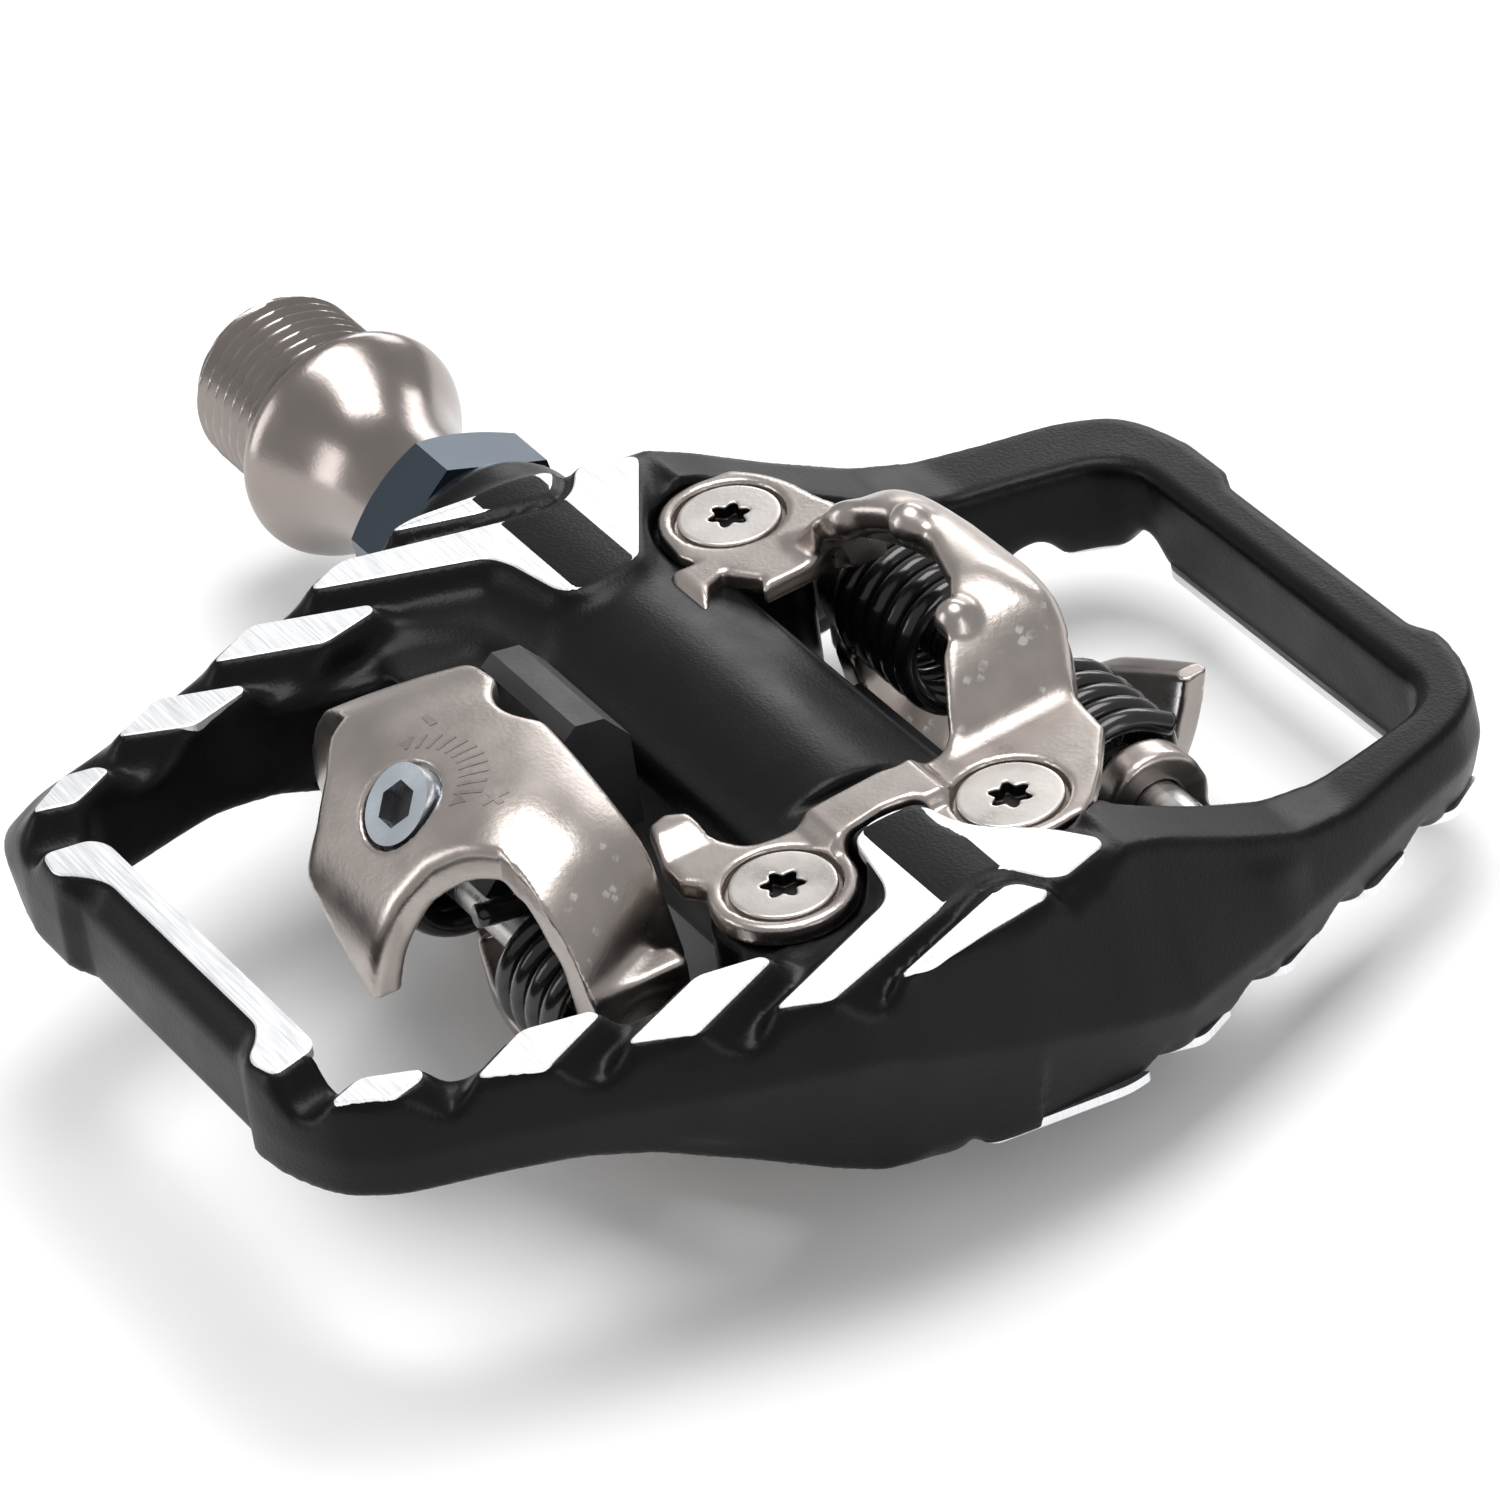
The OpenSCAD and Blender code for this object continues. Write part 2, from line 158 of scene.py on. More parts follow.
M = {
    "body": material("body_black", (0.003, 0.003, 0.0035), 0.0, 0.36, grain=0.6, grain_scale=3600.0,
                     tint=0.2, rough_var=0.04, spec=0.16, wear=(0.009, 0.009, 0.0095)),
    "pad": material("machined_pad", (0.93, 0.94, 0.96), 1.0, 0.42, streak=(200, 6000, 1, 12),
                    tint=0.008, rough_var=0.02),
    "claw": material("claw_silver", (0.44, 0.395, 0.37), 1.0, 0.31, grain=0.35, grain_scale=2600.0,
                     tint=0.07, rough_var=0.06, wear=(0.75, 0.72, 0.69)),
    # partly painted shade: the darker metal of the hood scale marks is their own cut tone with the shade of the
    # engraved grooves painted in
    "scale_cut_and_groove_shade": material("engraved_scale_and_groove_shade", (0.30, 0.26, 0.25), 1.0, 0.42, grain=0.5, grain_scale=1800.0),
    "axle": material("axle_steel", (0.30, 0.265, 0.25), 1.0, 0.24, grain=0.22, grain_scale=3000.0,
                     tint=0.05, rough_var=0.04, wear=(0.45, 0.43, 0.41)),
    "bearing": material("ground_steel", (0.5, 0.49, 0.48), 1.0, 0.25, streak=(4000, 80, 80, 0)),
    "ball": material("ball_steel", (0.72, 0.72, 0.74), 1.0, 0.08, rough_var=0.03),
    "cap": material("cap_slate", (0.06, 0.078, 0.1), 0.85, 0.3, grain=0.2, grain_scale=3000.0, tint=0.02,
                    rough_var=0.02),
    "seal": material("seal_rubber", (0.015, 0.015, 0.015), 0.0, 0.6, grain=0.4),
    "screw": material("screw_silver", (0.62, 0.585, 0.56), 1.0, 0.32, grain=0.3, grain_scale=2600.0),
    # painted shade: dark metal for the faces inside the screw sockets, in place of the shade that falls in these
    # recesses
    "socket": material("socket_painted_shade", (0.06, 0.055, 0.055), 1.0, 0.35, grain=0.4),
    "spring": material("spring_black", (0.028, 0.026, 0.026), 0.6, 0.22, tint=0.15, coat=0.4),
    "zinc": material("zinc_bright", (0.62, 0.68, 0.74), 1.0, 0.22, grain=0.25, grain_scale=2200.0, tint=0.1),
    "resin": material("resin_black", (0.02, 0.02, 0.023), 0.0, 0.5, grain=0.6, grain_scale=2400.0),
}


# ---------------------------------------------------------- distance fields
def axes(lo, hi, h):
    n = [int(round((b - c) / h)) + 1 for c, b in zip(lo, hi)]
    return [np.linspace(lo[i], lo[i] + (n[i] - 1) * h, n[i], dtype=np.float32).reshape(
        [-1 if j == i else 1 for j in range(3)]) for i in range(3)]


def smin(p, q, k):
    hh = np.clip(0.5 + 0.5 * (q - p) / k, 0, 1)
    return q + (p - q) * hh - k * hh * (1 - hh)


def smax(p, q, k):
    return -smin(-p, -q, k)


def poly(x, y, pts):
    """Signed distance to a closed polygon, negative inside."""
    x, y = np.broadcast_arrays(x, y)
    d = np.full(x.shape, 1e9, np.float32)
    s = np.ones(x.shape, np.float32)
    n = len(pts)
    for i in range(n):
        ax, ay = pts[i]
        bx, by = pts[i - 1]
        ex, ey = bx - ax, by - ay
        wx, wy = x - ax, y - ay
        t = np.clip((wx * ex + wy * ey) / (ex * ex + ey * ey), 0, 1)
        qx, qy = wx - ex * t, wy - ey * t
        d = np.minimum(d, qx * qx + qy * qy)
        c1, c2, c3 = y >= ay, y < by, ex * wy > ey * wx
        s = np.where((c1 & c2 & c3) | (~c1 & ~c2 & ~c3), -s, s)
    return s * np.sqrt(d)


def seg(x, y, p, q):
    ex, ey = q[0] - p[0], q[1] - p[1]
    t = np.clip(((x - p[0]) * ex + (y - p[1]) * ey) / (ex * ex + ey * ey), 0, 1)
    return np.sqrt((x - p[0] - ex * t) ** 2 + (y - p[1] - ey * t) ** 2)


def smooth_poly(pts, r, n=5):
    """Polygon with its corners rounded by about r."""
    out = []
    m = len(pts)
    for i in range(m):
        p0, p1, p2 = (np.array(pts[(i + k) % m], float) for k in (-1, 0, 1))
        d0, d2 = p0 - p1, p2 - p1
        l0, l2 = np.linalg.norm(d0), np.linalg.norm(d2)
        rr = r[i] if isinstance(r, (list, tuple)) else r
        k = min(rr, l0 * 0.48, l2 * 0.48)
        q0, q2 = p1 + d0 / l0 * k, p1 + d2 / l2 * k
        for j in range(n + 1):
            t = j / n
            out.append(tuple((1 - t) ** 2 * q0 + 2 * t * (1 - t) * p1 + t * t * q2))
    return out


def to_object(name, verts, faces, mat, smooth=True):
    me = bpy.data.meshes.new(name)
    me.from_pydata([tuple(v) for v in verts], [], faces)
    me.update()
    if smooth:
        me.polygons.foreach_set("use_smooth", [True] * len(me.polygons))
    ob = bpy.data.objects.new(name, me)
    bpy.context.scene.collection.objects.link(ob)
    me.materials.append(mat)
    return ob


def field_mesh(d, lo, h):
    """Triangles and quads of the zero surface, in mm."""
    g = vdb.FloatGrid(background=float(d.max()) + 1.0)
    g.copyFromArray(np.ascontiguousarray(d, dtype=np.float32))
    pts, tris, quads = g.convertToPolygons(isovalue=0.0, adaptivity=0.0)
    pts = pts * h + np.array(lo)
    return pts, tris, quads


def field_object(name, d, lo, h, mat, dz=0.0):
    pts, tris, quads = field_mesh(d, lo, h)
    pts = pts + np.array([0, 0, dz])
    faces = [tuple(int(i) for i in f) for f in quads] + [tuple(int(i) for i in f) for f in tris]
    ob = to_object(name, (pts + [CTR, 0, 0]) * MM, faces, mat)
    bm = bmesh.new()
    bm.from_mesh(ob.data)
    bmesh.ops.remove_doubles(bm, verts=bm.verts, dist=1e-7)
    bmesh.ops.recalc_face_normals(bm, faces=bm.faces)
    bm.to_mesh(ob.data)
    bm.free()
    return ob


def twin(ob, name):
    """The same piece on the lower side: half a turn about the axle."""
    me = ob.data.copy()
    me.transform(Matrix.Rotation(math.pi, 4, "X"))
    o2 = bpy.data.objects.new(name, me)
    bpy.context.scene.collection.objects.link(o2)
    return o2


# --------------------------------------------------------------------- pads
def mirrored(p):
    return [(-x, y) for x, y in p]


P1 = [(21.3, -45.4), (20.2, -42.5), (22.1, -38.8), (23.1, -39.3), (23.7, -41.7)]
P2 = [(25.3, -36.5), (22.8, -31.6), (24.1, -26.9), (24.9, -26.7), (27.5, -32.2)]
P3 = [(28.75, -26.9), (25.45, -19.5), (26.5, -15.0), (27.4, -14.8), (30.9, -22.6)]
P4 = [(32.0, -17.3), (26.9, -5.5), (25.3, -4.5), (19.6, -3.4), (18.5, -1.6), (18.5, 0.9),
      (19.5, 2.5), (21.9, 2.9), (24.2, 4.2), (26.9, 7.3), (30.2, 9.4), (31.2, 9.2), (32.4, 5.5),
      (31.8, 4.3), (29.0, 2.7), (28.6, 0.9), (33.7, -13.8)]
P4L = [(32.0, -17.3), (26.9, -5.5), (25.2, -4.6), (19.7, -3.6), (18.5, -1.9), (19.4, 2.8),
       (30.8, 9.6), (32.5, 5.3), (30.0, 3.6), (28.9, 1.3), (33.7, -13.8)]
P5 = [(34.5, -9.2), (30.6, 1.0), (30.9, 2.4), (33.0, 3.6), (33.6, 3.0), (34.9, -7.0)]
RB = [(-16.4, -47.2), (-15.7, -43.8), (-14.4, -43.0), (14.4, -42.9), (15.4, -43.4), (16.3, -46.8),
      (13.6, -47.4), (11.9, -45.8), (10.4, -45.0), (-10.4, -45.1), (-12.2, -46.1), (-13.7, -47.6)]
PADS = [smooth_poly(p, rr) for p, rr in (
    (P1, 0.7), (P2, 0.7), (P3, 0.7), (P4, [0.6, 1.5, 1.2, 1.6, 1.6, 1.2, 1, 1.5, 2, 2, 0.6, 0.6, 1, 1, 1, 1.2, 0.8]),
    (P5, 0.9), (RB, 0.9), (mirrored(P1), 0.7), (mirrored(P2), 0.7), (mirrored(P3), 0.7),
    (mirrored(P4L), 1.0), (mirrored(P5), 0.9))]
PAD_Z = 9.0


def pad_field(x, y):
    d = np.full(np.broadcast(x, y).shape, 1e9, np.float32)
    for p in PADS:
        d = np.minimum(d, poly(x, y, p))
    return d


def plates(name, outlines, z0, z1, mat, inset=0.12):
    """Thin plates with a small bevelled rim."""
    bm = bmesh.new()
    for pts in outlines:
        c = np.array(pts)
        n = len(c)
        nxt, prv = np.roll(c, -1, 0), np.roll(c, 1, 0)
        tang = nxt - prv
        tang /= np.linalg.norm(tang, axis=1)[:, None] + 1e-12
        area = 0.5 * np.sum(c[:, 0] * nxt[:, 1] - nxt[:, 0] * c[:, 1])
        inw = np.stack([-tang[:, 1], tang[:, 0]], 1) * (1 if area > 0 else -1)
        rings = [(0.0, z0), (0.0, z1 - inset * 0.7), (inset, z1)]
        vs = []
        for off, z in rings:
            q = c + inw * off
            vs.append([bm.verts.new(((x + CTR) * MM, y * MM, z * MM)) for x, y in q])
        for k in range(2):
            for i in range(n):
                j = (i + 1) % n
                bm.faces.new((vs[k][i], vs[k][j], vs[k + 1][j], vs[k + 1][i]))
        bm.faces.new(vs[2])
        bm.faces.new(list(reversed(vs[0])))
    bmesh.ops.recalc_face_normals(bm, faces=bm.faces)
    me = bpy.data.meshes.new(name)
    bm.to_mesh(me)
    bm.free()
    ob = bpy.data.objects.new(name, me)
    bpy.context.scene.collection.objects.link(ob)
    me.materials.append(mat)
    return ob


# --------------------------------------------------------------------- body
EARS = [(-21.0, 11.2), (21.0, 8.2), (19.4, -9.1)]
SEAT = 6.4
BARREL = 8.3
STRAP = 7.4
YS = np.array([-48.3, -47.4, -46, -43, -41, -36, -31, -22, -13, -8, 0, 3, 9, 14, 20, 27, 32, 41.7, 45, 47.4, 48.3])
XT = np.array([13.5, 17.0, 20.9, 23.3, 24.1, 25.9, 28.0, 31.3, 34.1, 34.9, 34.6, 34.0, 32.3, 30.4, 28.2, 26.2, 24.9,
               22.4, 20.0, 16.0, 12.5])
XR = np.array([14.5, 18.2, 21.6, 24.0, 24.8, 26.6, 28.7, 32.3, 35.3, 36.1, 36.45])
XL = np.array([19.5, 23.4, 26.4, 28.0, 28.6, 29.6, 31.0, 33.6, 35.7, 36.2, 36.45])


def body_field(h):
    lo, hi = (-39.6, -49.2, -11.4), (37.8, 49.2, 11.4)
    X, Y, Z = axes(lo, hi, h)
    y1 = Y.ravel()
    xt = np.interp(y1, YS, XT)
    xb = np.interp(-y1, YS, XT)
    xr = np.interp(-np.abs(y1), YS[:11], XR)
    xl = np.interp(-np.abs(y1), YS[:11], XL)
    ker = np.hanning(9); ker /= ker.sum()
    sm = lambda v: np.convolve(np.pad(v, 4, "edge"), ker, "valid")
    xt, xb, xr, xl = sm(xt), sm(xb), sm(xr), sm(xl)
    zr = np.interp(y1, [-48, -30, -12, 12, 30, 48], [4.4, 4.6, 3.8, -3.8, -4.6, -4.4])
    tops = [PAD_Z, PAD_Z, 8.4, 7.1, 3.7, 0.6, -0.7, -1.0]
    zt = np.interp(y1, [-49, 8.5, 11, 14, 20, 26, 31, 49], tops)
    zb = -np.interp(-y1, [-49, 8.5, 11, 14, 20, 26, 31, 49], tops)
    zt, zb = sm(zt), sm(zb)
    rs = lambda v: v.astype(np.float32).reshape(1, -1, 1)
    slope = rs(1 / np.sqrt(1 + np.gradient(xr, y1) ** 2))
    zr_, zt_, zb_ = rs(zr), rs(zt), rs(zb)
    tu = np.clip((Z - zr_) / np.maximum(PAD_Z - zr_, 1), 0, 1)
    td = np.clip((zr_ - Z) / np.maximum(zr_ + PAD_Z, 1), 0, 1)
    xw = np.where(X > 0, rs(xr), rs(xl))
    xo = xw + (rs(xt) - xw) * tu ** 1.1 + (rs(xb) - xw - np.where(X > 0, 0.9, 0.0) * (rs(y1) > 0)) * td ** 1.1
    xo = xo - np.where(X > 0, 0.9, 0.0) * (rs(y1) < 0) * 0
    d = (np.abs(X) - xo) * slope * 0.97
    ends = np.interp(np.abs(X.ravel()), [0, 11.3, 13.4, 18.5, 22, 40], [47.1, 47.1, 48.0, 48.0, 47.6, 46.5])
    ends = ends.astype(np.float32).reshape(-1, 1, 1)
    up = np.where(Y < 0, Z, -Z)
    end_up = np.abs(Y) - (ends + np.clip((up - 7.2) / 1.6, 0, 1) * (47.9 - ends)) + np.clip(up - 5, 0, 9) * 0.06
    d = smax(d, end_up, 0.8)
    # top and bottom with scoops between the pads
    pf = pad_field(X[:, :, 0], Y[:, :, 0])[:, :, None]
    pf2 = pad_field(X[:, :, 0], -Y[:, :, 0])[:, :, None]
    depth = lambda v: 2.1 * (1 - np.exp(-(np.clip(v - 0.05, 0, 9) / 1.25) ** 1.6)) + 0.12
    fade = lambda yy: np.clip((10.5 - yy) / 3.0, 0, 1)
    top = Z - (zt_ - depth(pf) * fade(Y))
    bot = (zb_ + depth(pf2) * fade(-Y)) - Z
    d = smax(d, top * 0.8, 0.55)
    d = smax(d, bot * 0.8, 0.55)
    # windows
    win = smooth_poly([(-17.6, -43.1), (17.6, -43.1), (20.2, -41.2), (22.0, -34), (24.4, -21), (25.2, -13.5),
                       (22, -9.8), (14, -8.2), (-14, -8.2), (-22, -9.8), (-25.2, -13.5), (-24.4, -21),
                       (-22.0, -34), (-20.2, -41.2)], 2.0)
    w1 = poly(X[:, :, 0], Y[:, :, 0], win)[:, :, None]
    w2 = poly(X[:, :, 0], -Y[:, :, 0], win)[:, :, None]
    flare = 0.06 * np.abs(Z)
    d = smax(d, -(w1 - flare * 0.5), 1.1)
    d = smax(d, -(w2 - flare * 0.5), 1.1)
    # solid middle: barrel, claw columns
    rad = np.sqrt(Y ** 2 + Z ** 2)
    bar = smax(rad - BARREL, np.abs(X + 4.2) - 34.3, 0.8)
    core = bar
    for sgn in (1, -1):
        for ex, ey in EARS:
            rr = np.sqrt((X - ex) ** 2 + (Y - ey * sgn) ** 2)
            core = smin(core, smax(rr - 5.25, np.abs(Z) - 6.3, 0.5), 1.6)
    d = smin(d, core, 1.8)
    # shoulder that runs from the outer ear to the low rail
    for sgn in (1, -1):
        slope = Z * sgn - (5.4 - 0.42 * (Y * sgn - 9))
        for p0, p1, wide in (((24.5, 9.0), (27.5, 22.0), 3.4), ((-24.5, 11.0), (-27.0, 22.0), 3.2)):
            lim = smax(seg(X, Y * sgn, p0, p1) - wide, slope, 1.2)
            lim = smax(lim, -Z * sgn - 6.0, 1.0)
            d = smin(d, lim, 1.5)
    # ear seats, strap seat, pin bores and axle bores
    for sgn in (1, -1):
        for ex, ey in EARS:
            rr = np.sqrt((X - ex) ** 2 + (Y * sgn - ey) ** 2)
            d = smax(d, -smax(rr - 5.75, (SEAT - 0.05) - Z * sgn, 0.3), 0.35)
        bx = np.maximum(np.abs(X - 15.3) - 3.1, np.abs(Y * sgn - 1.0) - 9.0)
        d = smax(d, -smax(bx, (STRAP - 0.05) - Z * sgn, 0.3), 0.35)
        px = np.sqrt((Y + 20.5 * sgn) ** 2 + Z ** 2) - 2.05
        d = np.maximum(d, -np.maximum(px, np.abs(X) - 27.3))
    d = np.maximum(d, -np.maximum(rad - 6.84, X - 27.0))
    d = np.maximum(d, -np.maximum(rad - 7.54, X + 35.9))
    return d, lo


h_body = 0.42 * F
d, lo = body_field(h_body)
body = field_object("body_forging", d, lo, h_body, M["body"])
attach(body, "pedal")
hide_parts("body")
pads = plates("machined_pads_top", PADS, PAD_Z - 0.8, PAD_Z, M["pad"])
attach(pads, "pedal")
pads2 = twin(pads, "machined_pads_bottom")
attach(pads2, "pedal")


# --------------------------------------------------------------- fixed claw
def plane(X, Y, Z, n, q):
    n = np.array(n, float) / np.linalg.norm(n)
    return ((X - q[0]) * n[0] + (Y - q[1]) * n[1] + (Z - q[2]) * n[2]).astype(np.float32)


def fixed_field(h):
    lo, hi = (-27.5, -16.6, 2.4), (27.5, 24.0, 17.2)
    X, Y, Z = axes(lo, hi, h)
    x2, y2 = X[:, :, 0], Y[:, :, 0]
    plan = np.minimum.reduce([np.sqrt((x2 - ex) ** 2 + (y2 - ey) ** 2) - 5.2 for ex, ey in EARS])
    left = poly(x2, y2, [(-25.4, 14), (-21, 16.4), (-17.4, 17.8), (-13.0, 17.8), (-11.6, 12.6), (-11.4, 8.2),
                         (-12.6, 8.8), (-14.6, 7.4), (-16.4, 7.0), (-19, 6.2)])
    rgt = poly(x2, y2, [(25.4, 11.0), (22.4, 14.6), (18.6, 17.4), (13.2, 18), (13.2, 9.6), (14.4, 4.4), (19, 3.2)])
    strap = poly(x2, y2, [(15.6, -8.4), (14.6, -5.5), (14.2, -2), (13.9, 2), (14.5, 5.2), (18.2, 5.0), (17.7, 0),
                          (18.6, -4.6)])
    lug = poly(x2, y2, [(8.6, -13.2), (8.1, -11.7), (9.0, -10.3), (11.6, -10.1), (14.3, -8.6), (17, -7.4),
                        (17, -12.5), (14.6, -14.4), (11.8, -14.2)])
    nub = poly(x2, y2, [(-17.6, 4.2), (-17.4, 7.0), (-15.4, 7.8), (-14.5, 5.6), (-12.1, 4.0), (-12.6, 2.3),
                        (-15.1, 2.4)])
    for q, k in ((left, 2.0), (rgt, 2.0), (strap, 1.6), (lug, 1.0), (nub, 0.6)):
        plan = smin(plan, q, k)
    step = lambda t: np.clip(t, 0, 1) ** 2 * (3 - 2 * np.clip(t, 0, 1))
    rise = step((5.6 - np.abs(Y - 0.2)) / 1.6) * step((X - 11) / 1.5) * step((19.4 - X) / 1.0)
    rise = rise + 0.8 * step((12.6 - X) / 3.0) * step((-9.0 - Y) / 1.0)
    rise = rise - 1.3 * step((4.8 - Y) / 2.0) * step((-11 - X) / 1.0) * step((X + 18.6) / 1.0)
    d = smax(plan[:, :, None], np.abs(Z - 8.25 - rise) - 0.85, 0.45)
    # helmet-shaped arch: a shell under three faces
    xs1 = X.ravel()
    yo = np.interp(xs1, [-17.5, -15.0, -13.0, -10.8, -6.3, -1.8, 4.2, 8, 10.5, 12.7, 15, 17],
                   [17.6, 17.4, 17.6, 18.6, 20.2, 21.3, 21.7, 21.1, 20.2, 19.0, 17.4, 16.4])
    yi = np.interp(xs1, [-17, -14, -11.7, -9, -5, -0.6, 3.9, 8, 9.5, 12.5, 14.5, 17],
                   [13.4, 12.6, 12.8, 14.4, 16.0, 16.2, 14.9, 12.4, 10.6, 8.7, 7.7, 7.4])
    yo = yo.astype(np.float32).reshape(-1, 1, 1)
    yi = yi.astype(np.float32).reshape(-1, 1, 1)
    top = Z - (15.5 - 0.0035 * (X - 0.5) ** 2 - 0.012 * (Y - 17.0) ** 2)
    fr = plane(X, Y, Z, (0.0, 0.78, 0.62), (0, 19.6, 15.2))
    outer = smax(smax(top, plane(X, Y, Z, (0.763, 0.05, 0.647), (14.1, 12, 9.1)), 3.2),
                 plane(X, Y, Z, (-0.72, 0.10, 0.69), (-14.8, 16, 9.1)), 2.4)
    outer = smax(outer, fr, 2.4)
    outer = smax(outer, (Y - yo) * 0.9, 1.6)
    cav = smax(outer + 2.3, (Y - yo) * 0.9 + 2.4, 1.6)
    arch = smax(outer, -cav, 0.5)
    arch = smax(arch, (yi - Y) * 0.82, 0.9)
    arch = smax(arch, np.where(np.abs(X) < 11, 10.8, 7.4) - Z, 0.5)
    d = smin(d, arch, 1.0)
    # beads where the lip was struck
    for q, rr in (((-3.6, 16.4, 14.9), 1.5), ((7.6, 12.9, 14.3), 1.4), ((-9.6, 14.6, 12.8), 1.2)):
        ball = np.sqrt((X - q[0]) ** 2 + (Y - q[1]) ** 2 + (Z - q[2]) ** 2) - rr
        d = smin(d, ball, 0.9)
    for ex, ey in EARS:
        rr = np.sqrt((X - ex) ** 2 + (Y - ey) ** 2)
        cone = smax(rr - 4.15, (9.1 - 1.0) - Z, 0.15)
        d = smax(d, -cone, 0.2)
        d = np.maximum(d, -(rr - 1.9))
    return d, lo


h_cl = 0.24 * F
d, lo = fixed_field(h_cl)
fixed = field_object("fixed_claw_upper", d, lo, h_cl, M["claw"], DZ)
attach(fixed, "pedal")
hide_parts("fixed_claw_top")
fixed2 = twin(fixed, "fixed_claw_lower")
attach(fixed2, "pedal")
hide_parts("fixed_claw_bottom")


# -------------------------------------------------------------- sprung claw
def sprung_field(h):
    lo, hi = (-20.8, -35.4, -4.2), (20.8, -12.6, 17.6)
    X, Y, Z = axes(lo, hi, h)
    P = lambda n, q: plane(X, Y, Z, n, q)
    A = np.abs(X)
    mir = lambda n, q: plane(A, Y, Z, n, q)
    top = Z - (15.6 - 0.004 * X ** 2 - 0.006 * (Y + 20.5) ** 2)
    hull = smax(top, P((0, -0.707, 0.707), (0, -27.55, 14.05)), 2.6)
    hull = smax(hull, P((0, -0.985, 0.17), (0, -33.2, 8)), 2.6)
    hull = smax(hull, mir((0.58, 0.0, 0.81), (11.0, -20, 15.2)), 2.6)
    hull = smax(hull, mir((0.84, 0.44, 0.3), (18.6, -24, 8)), 2.6)
    hull = smax(hull, P((0.279, 0.475, 0.835), (8.9, -19.2, 15.3)), 1.6)
    d = smax(hull, -(hull + 2.35), 0.5)
    d = smax(d, Y + 15.6 - 0.05 * (15 - Z), 0.6)
    # rear edge of the wings and the narrow tail
    back_ = np.clip(-Y, 0, 50)
    at = [0, 24.4, 25.2, 27.0, 28.8, 31.0, 33, 40]
    wr = np.interp(back_, at, [40, 22, 10.4, 8.1, 6.4, 5.5, 5.2, 5.2])
    wl = np.interp(back_, at, [40, 22, 11.6, 10.4, 8.2, 6.4, 5.6, 5.4])
    side = np.where(X > 0, X - wr, -X - wl).astype(np.float32)
    d = smax(d, np.where(Y < -24.0, side * 0.6, -20.0).astype(np.float32), 0.7)
    d = smax(d, (4.9 - 0.42 * X) - Z + np.where(Y > -28.5, -20.0, 0.0), 0.6)
    # the wings end in hubs on the pin
    hubr = np.sqrt((Y - PIN_Y) ** 2 + (Z + DZ) ** 2)
    d = smax(d, np.where(A > 11.0, 3.2 - Z, -20.0), 0.8)
    leg = smax(smax(np.abs(A - 17.9) - 1.25, np.abs(Y + 20.6) - 3.9, 0.7), np.abs(Z - 3.4) - 3.0, 0.7)
    hub = smax(hubr - 4.1, np.abs(A - 18.0) - 1.35, 0.5)
    d = smin(d, smin(leg, hub, 0.8), 1.2)
    d = np.maximum(d, -(hubr - 2.08))
    d = np.maximum(d, 14.4 - A - np.where((Z < 3.2), 0.0, 60.0))
    # notch over the guide block
    d = smax(d, -(np.sqrt((X + 3.2) ** 2 + (Y + 13.3) ** 2) - 3.9), 0.5)
    # tension screw recess
    nx, ny = -math.sin(SLOPE), math.cos(SLOPE)
    head_z = HEAD_Z - DZ
    along = (Y - HEAD_Y) * nx + (Z - head_z) * ny
    perp = np.sqrt(X ** 2 + ((Y - HEAD_Y) * ny - (Z - head_z) * nx) ** 2)
    d = smax(d, -smax(perp - 3.3, -0.9 - along, 0.2), 0.25)
    d = np.maximum(d, -(perp - 1.8))
    return d, lo


d, lo = sprung_field(h_cl)
sprung = field_object("sprung_claw_upper", d, lo, h_cl, M["claw"], DZ)
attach(sprung, "claw_top")
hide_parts("sprung_claw_top")
sprung2 = twin(sprung, "sprung_claw_lower")
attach(sprung2, "claw_bottom")
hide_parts("sprung_claw_bottom")


# --------------------------------------------------------------------- axle
def lathe(profile, n, mat, name, x0=0.0, twist=None):
    """Turns (x, r) about the axle. twist(x, angle) adds to the radius."""
    v, f = [], []
    for i, (x, rad) in enumerate(profile):
        for k in range(n):
            t = 2 * math.pi * k / n
            rr = rad + (twist(x, t) if twist else 0.0)
            v.append(((x + x0) * MM, rr * math.cos(t) * MM, rr * math.sin(t) * MM))
    m = len(profile)
    for i in range(m - 1):
        for k in range(n):
            j = (k + 1) % n
            f.append((i * n + k, i * n + j, (i + 1) * n + j, (i + 1) * n + k))
    return v, f


